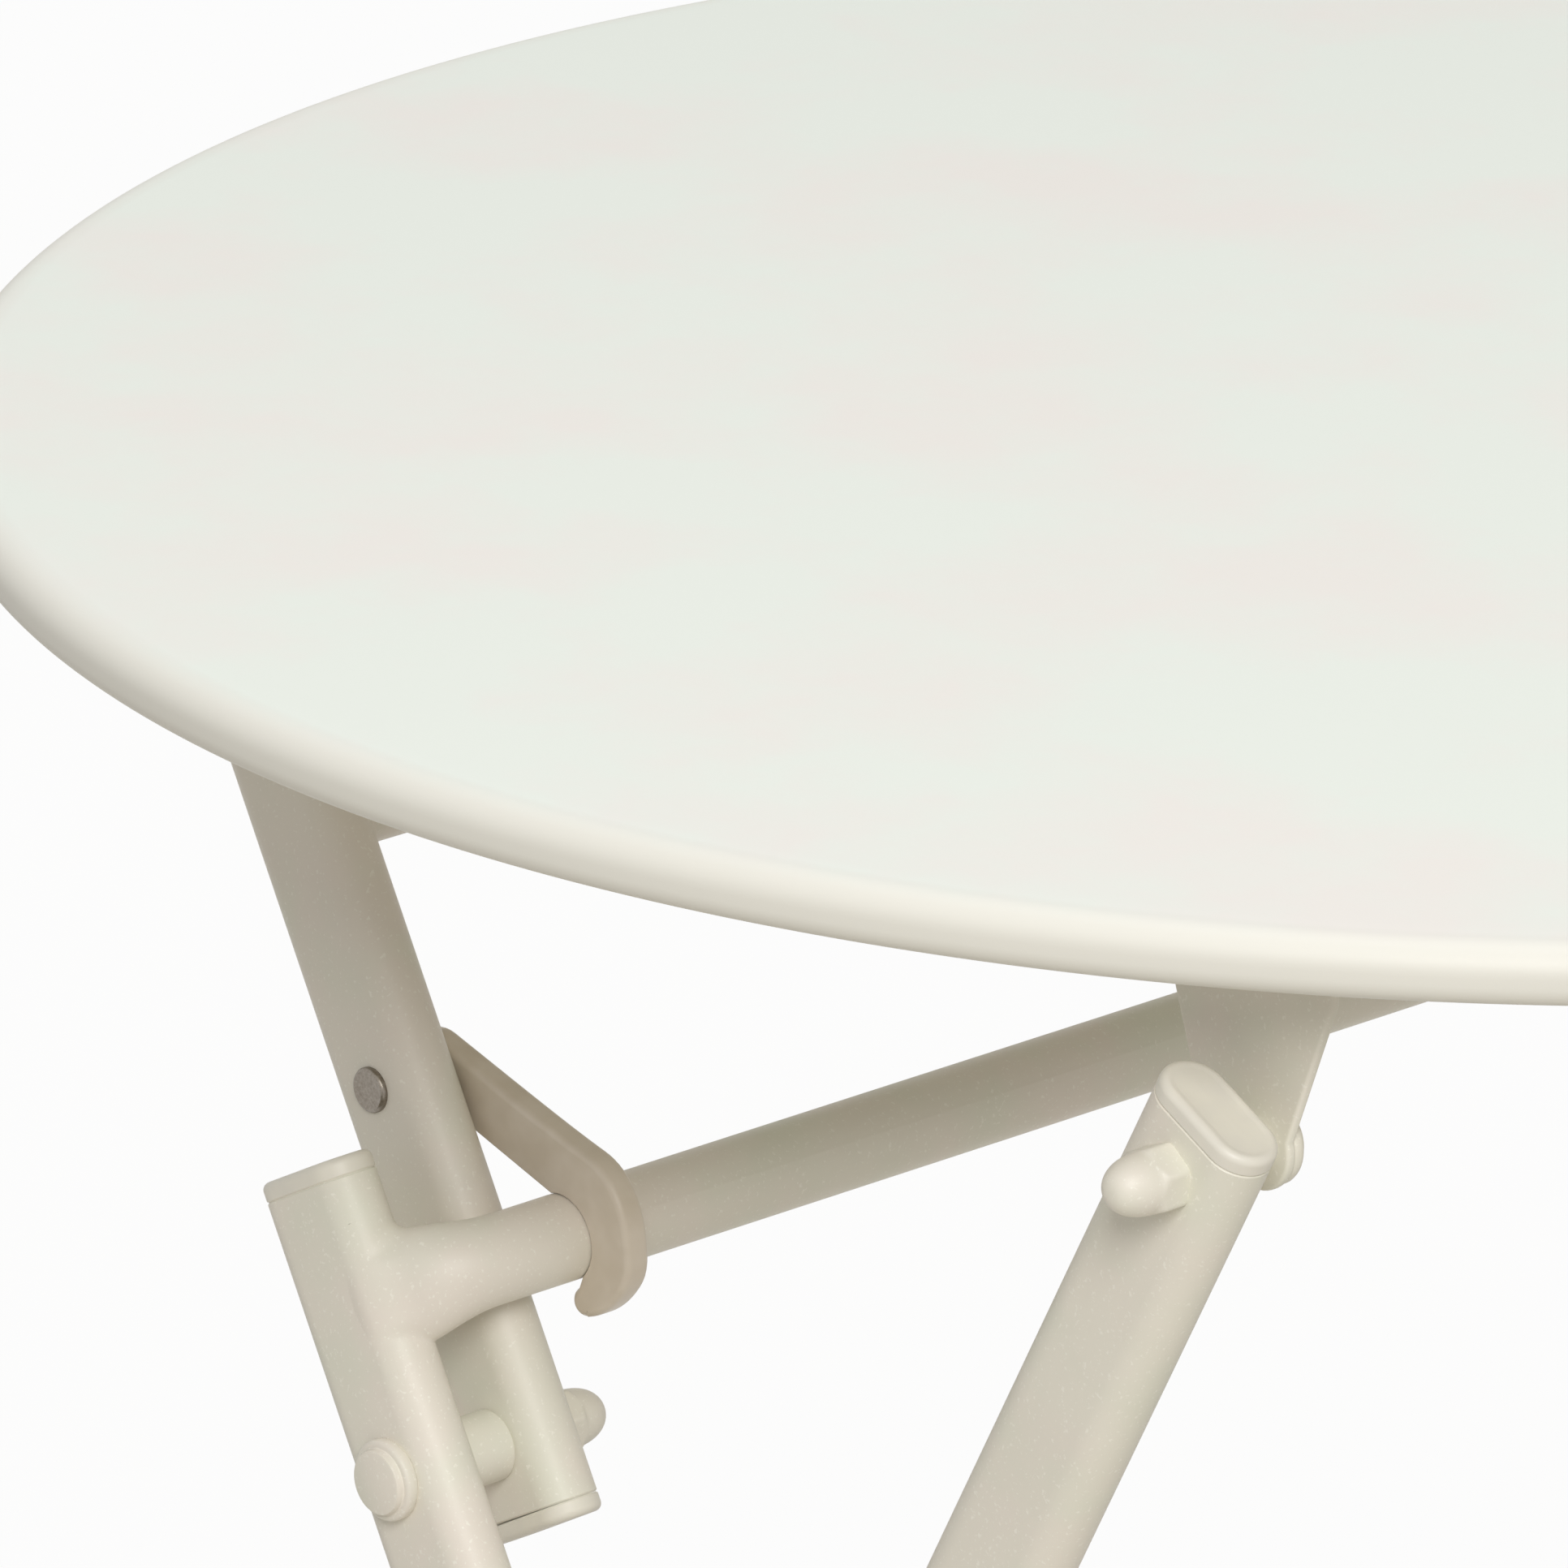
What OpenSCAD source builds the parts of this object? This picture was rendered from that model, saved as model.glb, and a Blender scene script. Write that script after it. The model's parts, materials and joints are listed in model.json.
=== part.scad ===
// Round folding table. Two pairs of flat-oval legs cross like scissors. The inner pair carries two
// short link arms up to the top, and a hook on one arm locks the fold on the latch bar.
// Frame: Z up, origin on the floor under the middle of the top, Y along the hinge axes.

/* [Tabletop] */
// Height of the top surface over the floor
table_h = 740; // [700:5:780]
// Diameter of the top
top_d = 700; // [680:5:760]
// Thickness of the top's sheet
sheet_t = 1.5; // [1:0.1:2.5]
// Height of the rolled edge
rim_h = 12.8; // [11:0.2:20]
// Radius of the rolled edge's upper corner
rim_r_up = 6.5; // [3:0.1:8]
// Radius of the rolled edge's lower corner
rim_r_low = 4.5; // [3:0.1:6]
// Width of the lip turned in under the edge
lip_w = 9; // [7:0.5:14]
// Height of the rails under the top
rail_h = 12; // [10:0.5:16]
// Wall of the rails
rail_wall = 1.5; // [1:0.1:2.5]
// Corner radius of the rails
rail_r = 2.5; // [2:0.1:4]

/* [Legs] */
// Width of the flat-oval tube, seen from the side
tube_w = 30; // [26:0.5:32]
// Thickness of the flat-oval tube
tube_t = 15; // [12:0.5:18]
// Wall of the flat-oval tube
tube_wall = 1.5; // [1:0.1:2.5]
// Distance of the leg hinge from the middle of the top
hinge_x = 166.3; // [150:0.5:175]
// Depth of the leg hinge under the top surface
hinge_drop = 60; // [54:0.5:70]
// Length of leg above the leg hinge
leg_end = 11.7; // [9:0.1:20]
// Length of the inner leg above the elbow bolt
inner_end = 63.3; // [56:0.1:75]
// Distance of the low bars from the crossing
low_bar_s = 330; // [280:5:360]

/* [Link arms] */
// Distance from the middle of the table to an arm's inner face
arm_in = 218; // [190:1:226]
// Depth of the arm's upper hinge under the top surface
link_drop = 50.33; // [48:0.01:54]
// Length of arm past its hinge, at either end
arm_end = 16.3; // [14:0.1:22]
// Gap between the arm and the inner leg
link_gap = 13.5; // [10:0.5:18]
// Distance of the bar between the arms below their upper hinge
arm_bar_down = 35.7; // [30:0.1:60]

/* [Crossbars] */
// Diameter of the round bars
bar_d = 19; // [16:0.5:22]
// Wall of the round bars
bar_wall = 1.5; // [1:0.1:2.5]
// Distance of the latch bar above the elbow bolt
latch_bar_up = 36.6; // [32:0.1:40]
// Gap between an offset bar and the leg faces that it passes
bar_gap = 0.3; // [0.2:0.05:1]
// Extra height of a bar's welded end
flare = 3.5; // [1:0.1:6]

/* [Plates and spacers] */
// Thickness of the hinge brackets
bracket_t = 2.5; // [2:0.1:4]
// Radius of a bracket's nose
bracket_r = 9.3; // [8:0.1:12]
// Half width of a bracket at its shoulders
bracket_half = 23.4; // [20:0.1:26]
// Distance of a bracket's middle from its hinge, towards the middle of the table
bracket_shift = 2.3; // [0:0.1:4]
// Height of a leg bracket's straight part, from the top down to its shoulders
bracket_straight = 24; // [20:0.5:28]
// Spacer between the leg and its bracket
hinge_gap = 9.3; // [7:0.1:11]
// Spacer between the two crossing legs
leg_gap = 5.8; // [5.8:0.1:8]
// Gap between the arm and its bracket
link_clear = 0.3; // [0.2:0.05:1]

/* [Fasteners] */
// Bolt diameter
bolt_d = 8; // [6:0.5:9]
// Radial clearance of a bolt in its hole
bolt_fit = 0.05; // [0.03:0.01:0.1]
// Width of the acorn nut across its flats
nut_af = 13; // [12:0.5:15]
// Height of the acorn nut's hexagon
nut_hex_h = 7; // [5:0.5:8]
// Diameter of the acorn nut's dome
dome_d = 12.6; // [11:0.1:13]
// Height of the acorn nut's dome
dome_h = 8.4; // [7:0.1:10]
// Diameter of a button head's ring
ring_d = 17.8; // [16:0.1:20]
// Height of a button head's ring
ring_h = 2.8; // [2:0.1:3.5]
// Diameter of a button head's cap
button_d = 14.4; // [12:0.1:15.5]
// Height of a button head
button_h = 4.5; // [4:0.1:5.5]
// Diameter of the spacers at the crossing and the elbow
spacer_d = 15.6; // [13:0.1:18]
// Diameter of the spacers in the leg hinges
hinge_spacer_d = 11.4; // [10:0.1:15]

/* [Caps and feet] */
// Thickness of an end cap's flange
cap_t = 4.2; // [2.5:0.1:5]
// Depth of an end cap's plug
plug_h = 7; // [5:0.5:7]
// Clearance of a plug in its tube
plug_fit = 0.1; // [0.05:0.05:0.3]
// Depth of the sunk face on an end cap
cap_sink = 0.5; // [0.2:0.1:1]
// Width of the bead round the sunk face
cap_bead = 2; // [1.5:0.1:3]
// Wall of the foot caps
foot_wall = 2; // [1.5:0.1:2.3]
// Thickness of the sole at its thinnest
foot_sole = 4; // [3:0.5:8]
// Length of tube inside a foot cap
foot_grip = 24; // [18:1:34]

/* [Latch] */
// Distance of the latch rivet above the elbow bolt
latch_pin_up = 79.3; // [76:0.1:82]
// Thickness of the hook
hook_t = 6.5; // [5:0.1:8]
// Radius of the hook's outer bend
hook_r = 18.9; // [18:0.1:21]
// Offset of the bend's centre from the latch bar, outwards
hook_off_e = 2.8; // [2:0.1:3.4]
// Offset of the bend's centre from the latch bar, upwards
hook_off_s = 0.8; // [0.2:0.1:1.4]
// Edge of the hook's arm below the latch rivet
hook_low = 4.7; // [4.5:0.1:5]
// Clearance between the hook and the latch bar
hook_fit = 0.4; // [0.3:0.05:0.6]
// Radius of the hook's nose
nose_r = 3.8; // [3:0.1:4]
// Thickness of the washer between the hook and the arm
latch_washer_t = 0.5; // [0.4:0.1:1]
// Diameter of the washer
latch_washer_d = 14; // [10:0.5:15]
// Diameter of the latch rivet's shank
rivet_d = 5; // [4:0.1:6]
// Diameter of the rivet's heads
rivet_head_d = 10; // [8:0.1:11]
// Height of the rivet's heads
rivet_head_h = 1.4; // [1:0.1:2]

/* [Hidden] */
$fn = 64;

PAINT = [0.87, 0.85, 0.80];
PLASTIC = [0.84, 0.82, 0.77];
STEEL = [0.72, 0.72, 0.70];

eps = 0.01;
cross_z = table_h / 2;
hinge_z = table_h - hinge_drop;
lean = atan2(hinge_x, hinge_z - cross_z);
leg_up = norm([hinge_x, hinge_z - cross_z]);
// Heights along the inner leg, measured from the crossing. With the elbow bolt at elbow_s the
// four-bar linkage folds flat.
link_z = table_h - link_drop;
link_s = (link_z - cross_z) / cos(lean);
link_x = -link_s * sin(lean);
reach = leg_up + link_s;
elbow_s = (reach - sqrt(pow(reach, 2) - 4 * leg_up * link_s * pow(cos(lean), 2))) / 2;
arm_bar_s = link_s - arm_bar_down;
latch_bar_s = elbow_s + latch_bar_up;
latch_pin_s = elbow_s + latch_pin_up;

// Distances from the middle of the table, outwards
arm_out = arm_in + tube_t;
inner_in = arm_out + link_gap;
inner_out = inner_in + tube_t;
outer_in = inner_out + leg_gap;
outer_out = outer_in + tube_t;
leg_bracket_in = outer_in - hinge_gap - bracket_t;
link_bracket_in = arm_in - link_clear - bracket_t;
rail_in = arm_in - link_clear;
rail_out = leg_bracket_in;

hole_d = bolt_d + 2 * bolt_fit;
bar_e = tube_w / 2 + bar_gap + bar_d / 2;
rail_top = table_h - sheet_t;
plug_flange_t = 2;
rail_half = sqrt(pow(top_d / 2 - lip_w - 5, 2) - pow(rail_out, 2)) - plug_flange_t;
foot_s = (cross_z - foot_sole - tube_w / 2 * sin(lean)) / cos(lean);
collar_len = 21;
rivet_fit = 0.05;
face_gap = 0.05;

// Tilts its children with a leg: dir 1 leans the top of the leg to +X, -1 to -X.
// Inside, X runs across the leg, Z up along it, and the origin is the crossing.
module leaned(dir) {
    translate([0, 0, cross_z]) rotate([0, dir * lean, 0]) children();
}

// Places a piece drawn in the X-Z plane at a distance from the middle, growing outwards
module outward(from, x = 0, z = 0) {
    translate([x, -from, z]) rotate([90, 0, 0]) children();
}

module far() { mirror([0, 1, 0]) children(); }

module both() {
    children();
    far() children();
}

module oval(w, t) {
    square([w - t, t], center = true);
    for (side = [-1, 1]) translate([side * (w - t) / 2, 0]) circle(d = t);
}

module rounded_square(size, r) {
    for (x = [r, size.x - r], y = [r, size.y - r]) translate([x, y]) circle(r);
    translate([r, 0]) square([size.x - 2 * r, size.y]);
    translate([0, r]) square([size.x, size.y - 2 * r]);
}

// Flat-oval tube from s0 up to s1, with holes across it
module oval_tube(y_in, s0, s1, holes) {
    translate([0, -(y_in + tube_t / 2), 0]) difference() {
        translate([0, 0, s0]) linear_extrude(s1 - s0) difference() {
            oval(tube_w, tube_t);
            oval(tube_w - 2 * tube_wall, tube_t - 2 * tube_wall);
        }
        for (hole = holes)
            translate([0, 0, hole[0]]) rotate([90, 0, 0])
                cylinder(d = hole[1], h = 2 * tube_t, center = true);
    }
}

// Cap on a tube's end at s: dir 1 closes an upper end, -1 a lower one
module end_cap(y_in, s, dir) {
    inner_w = tube_w - 2 * tube_wall - 2 * plug_fit;
    inner_t = tube_t - 2 * tube_wall - 2 * plug_fit;
    translate([0, -(y_in + tube_t / 2), s]) mirror([0, 0, dir < 0 ? 1 : 0]) difference() {
        union() {
            linear_extrude(cap_t) oval(tube_w, tube_t);
            translate([0, 0, -plug_h]) linear_extrude(plug_h + eps) oval(inner_w, inner_t);
        }
        translate([0, 0, cap_t - cap_sink]) linear_extrude(cap_t)
            oval(tube_w - 2 * cap_bead, tube_t - 2 * cap_bead);
    }
}

// Plastic shoe over the leg's lower end, with its sole flat on the floor
module foot(y_in, dir) {
    outer_w = tube_w + 2 * foot_wall;
    sole_s = (cross_z + outer_w / 2 * sin(lean)) / cos(lean);
    difference() {
        leaned(dir) translate([0, -(y_in + tube_t / 2), -sole_s])
            linear_extrude(sole_s - foot_s + foot_grip) oval(outer_w, tube_t + 2 * foot_wall);
        leaned(dir) translate([0, -(y_in + tube_t / 2), -foot_s])
            linear_extrude(2 * foot_grip) oval(tube_w + 2 * plug_fit, tube_t + 2 * plug_fit);
        translate([-top_d, -top_d, -top_d]) cube([2 * top_d, 2 * top_d, top_d]);
    }
}

// Round bar along Y between two distances that are mirrored about the middle
module round_bar(half, e, s) {
    outward(-half, e, s) difference() {
        cylinder(d = bar_d, h = 2 * half);
        translate([0, 0, -eps]) cylinder(d = bar_d - 2 * bar_wall, h = 2 * half + 2 * eps);
    }
}

// Bar end that widens and wraps the edge of the leg that it is welded to
module collar(y_in, e, s) {
    start = y_in - collar_len - tube_t / 2;
    step = y_in - tube_t / 2;
    side = sign(e);
    difference() {
        union() {
            hull() {
                outward(start, e, s) cylinder(d = bar_d, h = eps, $fn = 32);
                outward(step, e, s) stretched_disc(flare / 2);
            }
            hull() {
                outward(step, e, s) stretched_disc(flare / 2);
                outward(y_in + tube_t * 0.6, e, s) stretched_disc(flare);
                outward(y_in + tube_t * 0.3, e - side * tube_t * 0.8, s) stretched_disc(flare);
            }
        }
        translate([0, -(y_in + tube_t / 2), s - 2 * bar_d]) linear_extrude(4 * bar_d)
            oval(tube_w, tube_t);
    }
}

module stretched_disc(extra) {
    for (side = [-1, 1])
        translate([0, side * extra, 0]) cylinder(d = bar_d, h = eps, $fn = 32);
}

// Bolt shank from one distance to another
module shank(from, to, d = bolt_d) { outward(from) cylinder(d = d, h = to - from); }

module ring(from, to, outer_d, inner_d) {
    outward(from) difference() {
        cylinder(d = outer_d, h = to - from);
        translate([0, 0, -eps]) cylinder(d = inner_d, h = to - from + 2 * eps);
    }
}

// Acorn nut seated at a distance, with its dome outwards (dir 1) or inwards (-1)
module acorn_nut(seat, dir) {
    outward(seat) mirror([0, 0, dir < 0 ? 1 : 0]) difference() {
        union() {
            intersection() {
                cylinder(d = nut_af / cos(30), h = nut_hex_h, $fn = 6);
                cylinder(d1 = nut_af + nut_hex_h, d2 = nut_af, h = nut_hex_h);
            }
            cylinder(d = dome_d, h = nut_hex_h + dome_h - dome_d / 2);
            translate([0, 0, nut_hex_h + dome_h - dome_d / 2]) sphere(d = dome_d);
        }
        translate([0, 0, -dome_d]) cylinder(d = 2 * dome_d, h = dome_d);
        translate([0, 0, -eps]) cylinder(d = hole_d, h = nut_hex_h);
    }
}

// Two-step button head seated at a distance
module button_head(seat, dir) {
    outward(seat) mirror([0, 0, dir < 0 ? 1 : 0]) {
        cylinder(d = ring_d, h = ring_h);
        cylinder(d = button_d, h = button_h);
    }
}

// Touching point of the tangent from p to a circle of radius r round the origin
function tangent_point(p, r, side) =
    let (a = atan2(p.y, p.x) + side * acos(r / norm(p))) [r * cos(a), r * sin(a)];

// Plate that hangs from the top, with its nose round the hinge. The edge towards the middle of the
// table has a knee, the other edge a slight waist over the nose.
module bracket(from, x, z, straight) {
    top = rail_top - z;
    shoulder = top - straight;
    reach_in = bracket_half + bracket_shift;
    reach_out = bracket_half - bracket_shift;
    knee = [-0.7 * reach_in, 0.3 * shoulder];
    waist = [0.84 * bracket_r, 0];
    outward(from, x, z) mirror([x < 0 ? 1 : 0, 0]) linear_extrude(bracket_t) difference() {
        union() {
            circle(bracket_r);
            polygon([
                tangent_point(knee, bracket_r - eps, 1), knee,
                [-reach_in, shoulder], [-reach_in, top],
                [reach_out, top], [reach_out, shoulder],
                waist, [0, -bracket_r / 2]
            ]);
        }
        circle(d = hole_d);
    }
}

// ---- Tabletop ----

// Half section of the top with its edge rolled down and in
module top_section(inset) {
    r = top_d / 2 - inset;
    up = rim_r_up - inset;
    low = rim_r_low - inset;
    h = rim_h - 2 * inset;
    translate([0, table_h - inset - h]) {
        translate([r - up, h - up]) quarter(up);
        translate([r - low, low]) mirror([0, 1]) quarter(low);
        square([r - max(up, low), h]);
        translate([0, low]) square([r, h - up - low]);
        square([r - low, low]);
        translate([0, h - up]) square([r - up, up]);
    }
}

module quarter(r) {
    intersection() {
        circle(r);
        square(r);
    }
}

module top_sheet() {
    color(PAINT) rotate_extrude($fn = 256) difference() {
        top_section(0);
        top_section(sheet_t);
        translate([0, table_h - 2 * rim_h]) square([top_d / 2 - lip_w, 2 * rim_h - sheet_t]);
    }
}

module rail_section(inset) {
    translate([rail_in + inset, rail_top - rail_h + inset])
        rounded_square([rail_out - rail_in - 2 * inset, rail_h - 2 * inset], rail_r - inset);
}

// Extrudes a section drawn in Y-Z along X from a start, on the near side
module along_x(start, len) {
    mirror([0, 1, 0]) rotate([90, 0, 90]) translate([0, 0, start]) linear_extrude(len) children();
}

module rail() {
    color(PAINT) along_x(-rail_half, 2 * rail_half) difference() {
        rail_section(0);
        rail_section(rail_wall);
    }
}

module rail_plug() {
    color(PLASTIC) {
        along_x(rail_half, plug_flange_t) rail_section(0);
        along_x(rail_half - plug_h, plug_h + eps) rail_section(rail_wall + plug_fit);
    }
}

module leg_bracket() { color(PAINT) bracket(leg_bracket_in, hinge_x, hinge_z, bracket_straight); }

// Bracket's half of the hinge bolt: it fills the hole and stops at the outer face
module hinge_head() {
    color(PAINT) translate([hinge_x, 0, hinge_z]) {
        shank(leg_bracket_in, leg_bracket_in + bracket_t);
        button_head(leg_bracket_in, -1);
    }
}

module link_bracket() { color(PAINT) bracket(link_bracket_in, link_x, link_z, rail_h); }

// ---- Outer legs ----

module outer_leg() {
    color(PAINT) leaned(1)
        oval_tube(outer_in, -foot_s, leg_up + leg_end, [[0, hole_d], [leg_up, hole_d]]);
}

module outer_cap() { color(PLASTIC) leaned(1) end_cap(outer_in, leg_up + leg_end, 1); }

module outer_foot() { color(PLASTIC) foot(outer_in, 1); }

module outer_low_bar() {
    color(PAINT) leaned(1) round_bar(outer_in - collar_len - tube_t / 2, -bar_e, -low_bar_s);
}

module outer_bar_collar() { color(PAINT) leaned(1) collar(outer_in, -bar_e, -low_bar_s); }

// Leg's half of the hinge bolt: it starts just off the bracket's outer face
module hinge_bolt() {
    color(PAINT) leaned(1) translate([0, 0, leg_up])
        shank(outer_in - hinge_gap + face_gap, outer_out + nut_hex_h - 1);
}

module hinge_nut() { color(PAINT) leaned(1) translate([0, 0, leg_up]) acorn_nut(outer_out, 1); }

module hinge_spacer() {
    color(PLASTIC) leaned(1) translate([0, 0, leg_up])
        ring(outer_in - hinge_gap + face_gap, outer_in, hinge_spacer_d, hole_d);
}

module cross_bolt() {
    color(PAINT) leaned(1) {
        shank(inner_in, outer_out + nut_hex_h - 1);
        button_head(inner_in, -1);
    }
}

module cross_nut() { color(PAINT) leaned(1) acorn_nut(outer_out, 1); }

module cross_spacer() { color(PLASTIC) leaned(1) ring(inner_out, outer_in, spacer_d, hole_d); }

// ---- Inner legs ----

module inner_leg() {
    color(PAINT) leaned(-1)
        oval_tube(inner_in, -foot_s, elbow_s + inner_end, [[0, hole_d], [elbow_s, hole_d]]);
}

module inner_cap() { color(PLASTIC) leaned(-1) end_cap(inner_in, elbow_s + inner_end, 1); }

module inner_foot() { color(PLASTIC) foot(inner_in, -1); }

module inner_low_bar() { color(PAINT) leaned(-1) round_bar(inner_in, 0, -low_bar_s); }

module latch_bar() {
    color(PAINT) leaned(-1) round_bar(inner_in - collar_len - tube_t / 2, bar_e, latch_bar_s);
}

module latch_bar_collar() { color(PAINT) leaned(-1) collar(inner_in, bar_e, latch_bar_s); }

// Elbow: ring and button outside the leg, spacer tube, arm, acorn nut inside
module at_elbow() { leaned(-1) translate([0, 0, elbow_s]) children(); }

module elbow_ring() {
    color(PAINT) at_elbow() ring(inner_out, inner_out + ring_h, ring_d, hole_d);
}

module elbow_button() {
    color(PAINT) at_elbow() outward(inner_out + ring_h) cylinder(d = button_d, h = button_h - ring_h);
}

module elbow_bolt() { color(STEEL) at_elbow() shank(arm_in - nut_hex_h + 1, inner_out + ring_h); }

module elbow_spacer() { color(PAINT) at_elbow() ring(arm_out, inner_in, spacer_d, hole_d); }

module elbow_nut() { color(PAINT) at_elbow() acorn_nut(arm_in, -1); }

// ---- Link arms ----

module link_arm(latch) {
    holes = concat([[elbow_s, hole_d], [link_s, hole_d]],
        latch ? [[latch_pin_s, rivet_d + 2 * rivet_fit]] : []);
    color(PAINT) leaned(-1) oval_tube(arm_in, elbow_s - arm_end, link_s + leg_end, holes);
}

module arm_low_cap() { color(PLASTIC) leaned(-1) end_cap(arm_in, elbow_s - arm_end, -1); }

module arm_top_cap() { color(PLASTIC) leaned(-1) end_cap(arm_in, link_s + leg_end, 1); }

module arm_bar() { color(PAINT) leaned(-1) round_bar(arm_in, 0, arm_bar_s); }

// Hinge pin of an arm, through the bracket and the arm, with a low head outside
module link_pin() {
    color(PAINT) leaned(-1) translate([0, 0, link_s]) {
        shank(link_bracket_in, arm_out);
        button_head(link_bracket_in, -1);
        outward(arm_out) cylinder(d = ring_d, h = rivet_head_h);
    }
}

module at_latch_pin() { leaned(-1) translate([0, 0, latch_pin_s]) children(); }

module latch_rivet() {
    hook_in = arm_in - latch_washer_t - hook_t;
    color(STEEL) at_latch_pin() {
        shank(hook_in, arm_out, rivet_d);
        outward(hook_in - rivet_head_h) cylinder(d = rivet_head_d, h = rivet_head_h);
        outward(arm_out) cylinder(d = rivet_head_d, h = rivet_head_h);
    }
}

module latch_washer() {
    color(PLASTIC) at_latch_pin()
        ring(arm_in - latch_washer_t, arm_in, latch_washer_d, rivet_d + 2 * rivet_fit);
}

// ---- Latch ----

// Hook outline with the rivet at the origin, X across the leg and Y up along it
module hook_outline() {
    bar = [bar_e, latch_bar_s - latch_pin_s];
    bend = bar + [hook_off_e, hook_off_s];
    arm_len = (bend.x - bend.y) / sqrt(2);
    arm_up = (bend.x + bend.y) / sqrt(2) + hook_r;
    arm_edge = (hook_low - eps) * sqrt(2);
    bar_r = bar_d / 2 + hook_fit;
    // Every point of the bar stays inside this radius while the hook swings
    swing_r = norm(bar) + bar_r;
    nose_a = asin((bend.x - 1) / (swing_r + nose_r));
    nose = (swing_r + nose_r) * [sin(nose_a), -cos(nose_a)];
    difference() {
        union() {
            circle(arm_up);
            rotate(-45) translate([0, -hook_low]) square([arm_len, arm_up + hook_low]);
            translate(bend) circle(hook_r);
        }
        translate(bar) circle(bar_r);
        // Mouth, open towards the leg
        polygon([
            [nose.x, nose.y - 3 * nose_r], [nose.x, -nose.x - arm_edge],
            [-hook_r, hook_r - arm_edge], [-hook_r, nose.y - 3 * nose_r]
        ]);
        intersection() {
            circle(swing_r);
            translate([nose.x - eps, bar.y - bar_r]) square([bar.x + bar_r / 2 - nose.x, bar_r / 2]);
        }
        circle(d = rivet_d + 2 * rivet_fit);
    }
    translate(nose) circle(nose_r);
}

module latch_hook() {
    color(PLASTIC) at_latch_pin() outward(arm_in - latch_washer_t - hook_t)
        linear_extrude(hook_t) hook_outline();
}

top_sheet();
rail();  // rail_near
far() rail();  // rail_far
both() for (end = [0, 1]) mirror([end, 0, 0]) rail_plug();  // rail_plugs
leg_bracket();  // leg_bracket_near
far() leg_bracket();  // leg_bracket_far
both() hinge_head();  // hinge_heads
link_bracket();  // link_bracket_near
far() link_bracket();  // link_bracket_far
outer_leg();  // outer_leg_near
far() outer_leg();  // outer_leg_far
outer_cap();  // outer_cap_near
far() outer_cap();  // outer_cap_far
outer_foot();  // outer_foot_near
far() outer_foot();  // outer_foot_far
outer_low_bar();
both() outer_bar_collar();  // outer_bar_collars
both() hinge_bolt();  // hinge_bolts
both() hinge_nut();  // hinge_nuts
both() hinge_spacer();  // hinge_spacers
both() cross_bolt();  // cross_bolts
both() cross_nut();  // cross_nuts
both() cross_spacer();  // cross_spacers
inner_leg();  // inner_leg_near
far() inner_leg();  // inner_leg_far
inner_cap();  // inner_cap_near
far() inner_cap();  // inner_cap_far
inner_foot();  // inner_foot_near
far() inner_foot();  // inner_foot_far
inner_low_bar();
latch_bar();
latch_bar_collar();  // latch_bar_collar_near
far() latch_bar_collar();  // latch_bar_collar_far
both() elbow_button();  // elbow_buttons
both() elbow_ring();  // elbow_rings
both() elbow_bolt();  // elbow_bolts
both() elbow_spacer();  // elbow_spacers
both() elbow_nut();  // elbow_nuts
link_arm(true);  // link_arm_near
far() link_arm(false);  // link_arm_far
arm_low_cap();  // arm_low_cap_near
far() arm_low_cap();  // arm_low_cap_far
both() arm_top_cap();  // arm_top_caps
arm_bar();
both() link_pin();  // link_pins
latch_rivet();
latch_washer();
latch_hook();
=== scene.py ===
"""Looks of a round folding table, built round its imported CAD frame. Metres, +Z up."""
import json
import math

import bmesh
import bpy
import numpy as np
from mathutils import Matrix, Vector

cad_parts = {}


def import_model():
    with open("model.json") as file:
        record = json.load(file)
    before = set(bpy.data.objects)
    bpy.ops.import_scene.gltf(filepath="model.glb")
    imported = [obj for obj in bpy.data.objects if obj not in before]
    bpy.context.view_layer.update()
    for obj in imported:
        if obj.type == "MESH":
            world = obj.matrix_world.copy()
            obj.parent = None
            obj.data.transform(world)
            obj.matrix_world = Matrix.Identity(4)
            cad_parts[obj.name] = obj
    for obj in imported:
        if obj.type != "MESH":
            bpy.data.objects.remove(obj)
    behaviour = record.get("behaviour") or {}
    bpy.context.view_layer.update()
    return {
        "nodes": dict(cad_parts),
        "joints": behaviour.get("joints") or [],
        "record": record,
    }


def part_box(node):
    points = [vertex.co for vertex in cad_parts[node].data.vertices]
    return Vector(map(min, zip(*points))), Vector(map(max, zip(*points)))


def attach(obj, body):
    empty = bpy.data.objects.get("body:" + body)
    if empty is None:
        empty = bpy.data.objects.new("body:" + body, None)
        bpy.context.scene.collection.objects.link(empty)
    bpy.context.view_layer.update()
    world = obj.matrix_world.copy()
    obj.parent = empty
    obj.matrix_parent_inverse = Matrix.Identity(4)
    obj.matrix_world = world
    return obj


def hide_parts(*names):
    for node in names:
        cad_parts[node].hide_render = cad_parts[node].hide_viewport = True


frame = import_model()

MM = 0.001
NEAR, FAR = -1, 1                       # the side of the table, as the sign of Y
SIDES = {"near": NEAR, "far": FAR}
OUTER, INNER = 1, -1                    # which way a leg's top leans, as the sign of X

# ---- Places, all read from the frame ----

joint_at = {joint["name"]: Vector(joint["pos_m"]) for joint in frame["joints"]}
CROSSING = joint_at["legs_fold"]
ELBOW = joint_at["arms_swing"]
LINK = joint_at["top_tilt"]
LATCH_PIN = joint_at["latch_swing"]


def middle(node):
    """Middle of a node's box."""
    low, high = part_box(node)
    return (low + high) / 2


def layer(node):
    """Distances of a near-side node's inner and outer faces from the table's middle."""
    low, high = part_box(node)
    return -high.y, -low.y


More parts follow.
